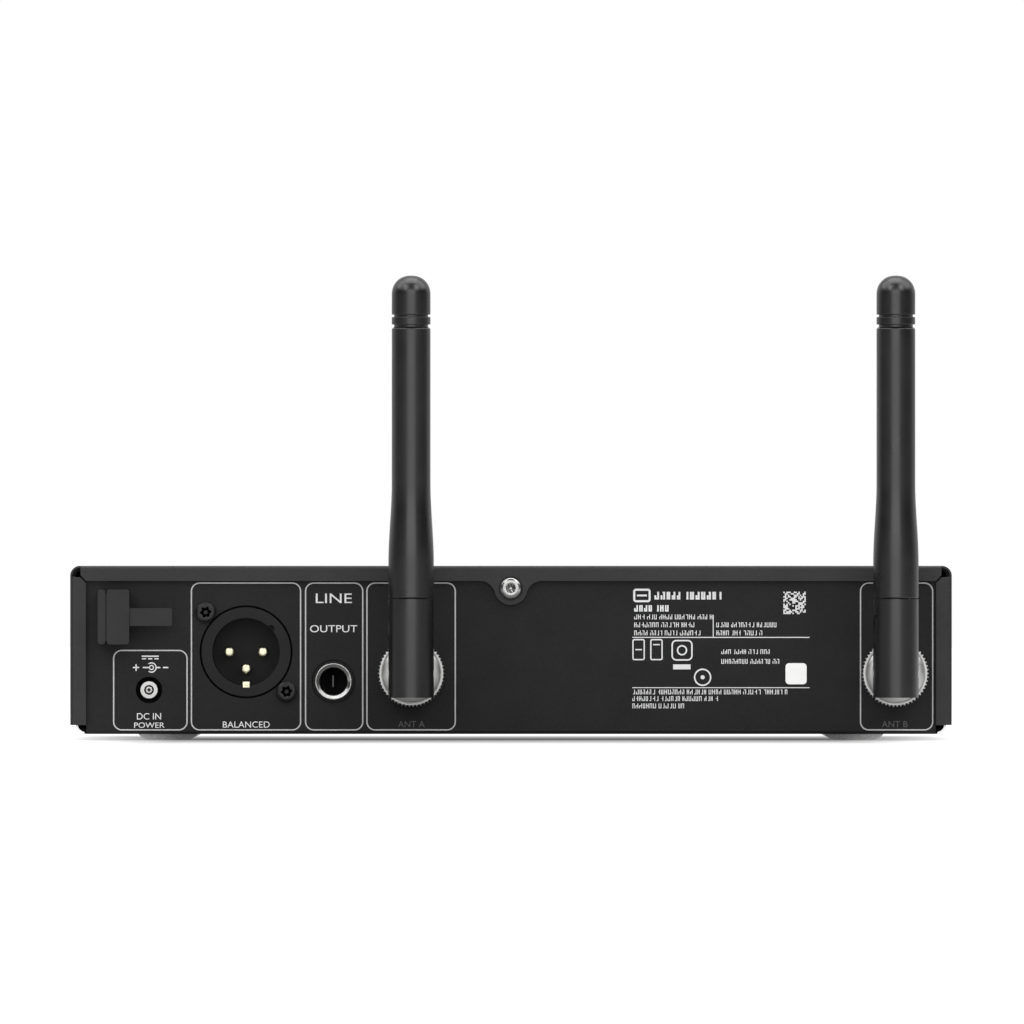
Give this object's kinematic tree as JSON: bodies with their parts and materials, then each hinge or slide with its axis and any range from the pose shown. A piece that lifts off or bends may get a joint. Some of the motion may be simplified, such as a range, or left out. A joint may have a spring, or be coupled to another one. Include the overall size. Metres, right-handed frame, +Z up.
{
  "type": "wireless receiver unit",
  "caption": "Half-rack wireless microphone receiver: a flat sheet-steel case with a display front and, behind, audio and power sockets and folding rod antennas on bayonet connectors.",
  "frame": {"origin": "middle of the overall width and depth, on the surface that the feet stand on", "axes": "+Z up, +Y towards the rear panel with its sockets and antennas, -Y towards the display front, +X to the right seen from the front"},
  "size_m": [0.212, 0.226, 0.1115],
  "materials": {
    "case_paint": "fine-textured matt black powder coat on sheet steel",
    "bright_nickel": "bright nickel plate",
    "foot_rubber": "matt grey rubber",
    "zinc_steel": "zinc plate",
    "sticker": "matt white paper",
    "bezel_plastic": "fine satin texture",
    "window": "polished smoked acrylic",
    "display": "glass face over a dark panel",
    "light_pipe": "frosted clear plastic",
    "key_plastic": "satin grey plastic",
    "circuit_board": "green solder mask",
    "black_plastic": "moulded, semi-matt",
    "ribbon": "grey ribbed insulation",
    "white_plastic": "moulded, semi-matt",
    "tinned_can": "tin plate",
    "capacitor_can": "drawn can",
    "gold_contact": "pale gold plate",
    "black_screw": "black oxide",
    "socket_nickel": "satin nickel plate",
    "antenna_plastic": "satin black polyurethane",
    "copper": "bare copper"
  },
  "bodies": {
    "chassis": {"base_tray": "case_paint", "top_cover": "case_paint", "cover_screw": "bright_nickel", "feet": "foot_rubber", "press_nuts": "zinc_steel", "blank_sticker": "sticker", "front_bezel": "bezel_plastic", "bezel_screws": "zinc_steel", "display_window": "window", "display_module": "display", "status_light_pipes": "light_pipe", "front_board": "circuit_board", "key_switches": "black_plastic", "encoder_body": "zinc_steel", "ribbon_cable": "ribbon", "main_board": "circuit_board", "board_standoffs": "zinc_steel", "board_screws": "zinc_steel", "board_connectors": "white_plastic", "rf_shield_cans": "tinned_can", "board_chips": "black_plastic", "board_capacitors": "capacitor_can", "xlr_housing": "black_plastic", "xlr_pins": "gold_contact", "xlr_ground_contact": "gold_contact", "xlr_screws": "black_screw", "jack_housing": "black_plastic", "jack_ferrule": "bright_nickel", "jack_springs": "zinc_steel", "dc_housing": "black_plastic", "dc_sleeve": "bright_nickel", "dc_pin": "bright_nickel", "cable_hook": "black_plastic", "bnc_sockets": "socket_nickel", "bnc_panel_nuts": "zinc_steel", "bnc_insulators": "white_plastic", "bnc_contacts": "gold_contact"},
    "power_button": {"power_button": "key_plastic"},
    "sync_button": {"sync_button": "key_plastic"},
    "escape_button": {"escape_button": "key_plastic"},
    "knob_push": {"encoder_push_plate": "white_plastic"},
    "knob": {"encoder_shaft": "bright_nickel", "control_knob": "bezel_plastic"},
    "antenna_a_nut": {"coupling_nut_a": "socket_nickel"},
    "antenna_a_plug": {"plug_shell_a": "socket_nickel", "plug_pin_a": "gold_contact", "knuckle_a": "black_plastic"},
    "antenna_a_rod": {"hinge_pin_a": "zinc_steel", "antenna_base_a": "antenna_plastic", "antenna_sleeve_a": "antenna_plastic", "antenna_radiator_a": "copper"},
    "antenna_b_nut": {"coupling_nut_b": "socket_nickel"},
    "antenna_b_plug": {"plug_shell_b": "socket_nickel", "plug_pin_b": "gold_contact", "knuckle_b": "black_plastic"},
    "antenna_b_rod": {"hinge_pin_b": "zinc_steel", "antenna_base_b": "antenna_plastic", "antenna_sleeve_b": "antenna_plastic", "antenna_radiator_b": "copper"}
  },
  "joints": [
    {"name": "power_press", "type": "slide", "parent": "chassis", "child": "power_button", "axis": [0, 1, 0], "range_m": [0, 0.0008], "stiffness_N_per_m": 600, "springref_m": -0.001},
    {"name": "sync_press", "type": "slide", "parent": "chassis", "child": "sync_button", "axis": [0, 1, 0], "range_m": [0, 0.0008], "stiffness_N_per_m": 600, "springref_m": -0.001},
    {"name": "escape_press", "type": "slide", "parent": "chassis", "child": "escape_button", "axis": [0, 1, 0], "range_m": [0, 0.0008], "stiffness_N_per_m": 600, "springref_m": -0.001},
    {"name": "knob_press", "type": "slide", "parent": "chassis", "child": "knob_push", "axis": [0, 1, 0], "range_m": [0, 0.0006], "stiffness_N_per_m": 1500, "springref_m": -0.001},
    {"name": "knob_turn", "type": "hinge", "parent": "knob_push", "child": "knob", "pos_m": [0.08, -0.105, 0.02175], "axis": [0, 1, 0], "continuous": true},
    {"name": "antenna_a_lock", "type": "hinge", "parent": "chassis", "child": "antenna_a_nut", "pos_m": [0.02395, 0.095, 0.01605], "axis": [0, 1, 0], "range_deg": [0, 90]},
    {"name": "antenna_a_swivel", "type": "hinge", "parent": "chassis", "child": "antenna_a_plug", "pos_m": [0.02395, 0.1, 0.01605], "axis": [0, 1, 0], "range_deg": [-90, 90]},
    {"name": "antenna_a_fold", "type": "hinge", "parent": "antenna_a_plug", "child": "antenna_a_rod", "pos_m": [0.02395, 0.10755, 0.01605], "axis": [-1, 0, 0], "range_deg": [0, 90]},
    {"name": "antenna_b_lock", "type": "hinge", "parent": "chassis", "child": "antenna_b_nut", "pos_m": [-0.0923, 0.095, 0.01605], "axis": [0, 1, 0], "range_deg": [0, 90]},
    {"name": "antenna_b_swivel", "type": "hinge", "parent": "chassis", "child": "antenna_b_plug", "pos_m": [-0.0923, 0.1, 0.01605], "axis": [0, 1, 0], "range_deg": [-90, 90]},
    {"name": "antenna_b_fold", "type": "hinge", "parent": "antenna_b_plug", "child": "antenna_b_rod", "pos_m": [-0.0923, 0.10755, 0.01605], "axis": [-1, 0, 0], "range_deg": [0, 90]}
  ]
}
